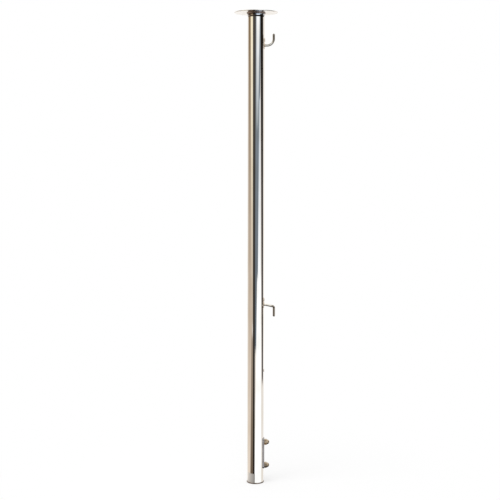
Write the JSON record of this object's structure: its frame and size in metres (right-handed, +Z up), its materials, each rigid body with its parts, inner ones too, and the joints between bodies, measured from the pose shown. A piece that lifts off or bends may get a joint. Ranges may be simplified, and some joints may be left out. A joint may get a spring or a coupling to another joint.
{
  "type": "flagpole",
  "caption": "Short polished stainless flagpole for a boat: a tube with a round cap disc, line hooks on one side, and a side strip held by cap nuts on studs.",
  "frame": {"origin": "the centre of the flat underside of the foot plug, on the tube's axis", "axes": "+Z up along the tube, +X towards the side that carries the hooks, rivets and studs"},
  "size_m": [0.065, 0.065, 0.7187],
  "materials": {
    "polished_tube": "mirror polished",
    "polished_disc": "mirror polished",
    "turned_plug": "turned, bright",
    "weld_bead": "welded and brushed, straw tint",
    "bent_wire": "drawn, bright",
    "pressed_sheet": "pressed, satin",
    "rivet_steel": "headed, bright",
    "strip_steel": "rolled, satin",
    "stud_steel": "rolled thread, satin",
    "nut_steel": "polished"
  },
  "bodies": {
    "root": {"pole_tube": "polished_tube", "cap_collar": "polished_tube", "foot_plug": "turned_plug", "cap_disc": "polished_disc", "cap_weld": "weld_bead", "upper_hook_weld": "weld_bead", "lower_hook_weld": "weld_bead", "upper_hook": "bent_wire", "lower_hook": "bent_wire", "upper_plate": "pressed_sheet", "lower_plate": "pressed_sheet", "upper_rivet": "rivet_steel", "lower_rivet": "rivet_steel", "side_rivet": "rivet_steel", "backing_strip": "strip_steel", "stud_lower": "stud_steel", "stud_upper": "stud_steel", "boss_lower": "stud_steel", "boss_upper": "stud_steel", "cap_nut_lower": "nut_steel", "cap_nut_upper": "nut_steel"}
  },
  "joints": []
}
